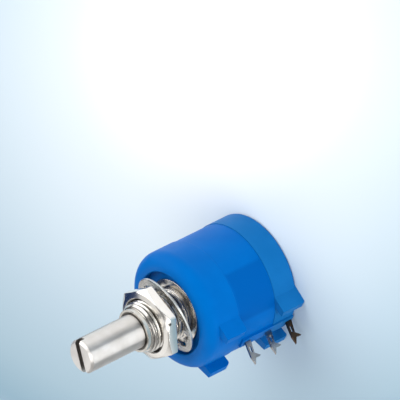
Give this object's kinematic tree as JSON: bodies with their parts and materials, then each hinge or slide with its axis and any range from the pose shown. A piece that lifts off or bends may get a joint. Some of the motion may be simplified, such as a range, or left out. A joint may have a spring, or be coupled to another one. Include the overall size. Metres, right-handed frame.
{
  "type": "multiturn potentiometer",
  "caption": "Multiturn panel potentiometer with a slotted shaft, a threaded bushing, a nut, a lock washer and side terminals on a round two-part plastic case.",
  "frame": {"origin": "on the shaft's axis, in the plane of the housing's front rim", "axes": "+Z along the shaft towards its slotted end; feet and terminals on the -Y side; the part stands on its flat rear face"},
  "size_m": [0.0222, 0.0271, 0.0409],
  "materials": {
    "blue_housing": "satin",
    "blue_lid": "satin",
    "nickel_bushing": "satin",
    "nickel_shaft": "satin",
    "steel_ring": "satin",
    "bronze_thrust_washer": "satin",
    "nickel_nut": "polished",
    "zinc_washer": "satin",
    "wound_wire": "matte",
    "white_rotor": "matte",
    "white_carriage": "matte",
    "silver_contact": "satin",
    "tinned_terminal": "satin",
    "dark_terminal": "satin"
  },
  "bodies": {
    "case": {"housing": "blue_housing", "rear_lid": "blue_lid", "bushing": "nickel_bushing", "thrust_washer": "bronze_thrust_washer", "lock_washer": "zinc_washer", "resistance_element": "wound_wire", "terminal_ccw": "tinned_terminal", "terminal_cw": "tinned_terminal", "terminal_wiper": "dark_terminal", "collector_brush": "silver_contact"},
    "spindle": {"shaft": "nickel_shaft", "retaining_ring": "steel_ring", "rotor": "white_rotor", "contact_rail": "silver_contact", "collector_ring": "silver_contact"},
    "wiper": {"wiper_carriage": "white_carriage", "wiper_contact": "silver_contact"},
    "nut": {"mounting_nut": "nickel_nut"}
  },
  "joints": [
    {"name": "shaft_turn", "type": "hinge", "parent": "case", "child": "spindle", "pos_m": [0, 0, 0], "axis": [0, 0, -1], "range_deg": [0, 3600]},
    {"name": "carriage_travel", "type": "slide", "parent": "spindle", "child": "wiper", "axis": [0, 0, -1], "range_m": [0, 0.0093]},
    {"name": "nut_travel", "type": "slide", "parent": "case", "child": "nut", "axis": [0, 0, 1], "range_m": [-0.00075, 0.00475]}
  ],
  "couplings": [
    {"joint": "carriage_travel", "follows": "shaft_turn", "m_per_rad": 0.00014801}
  ]
}
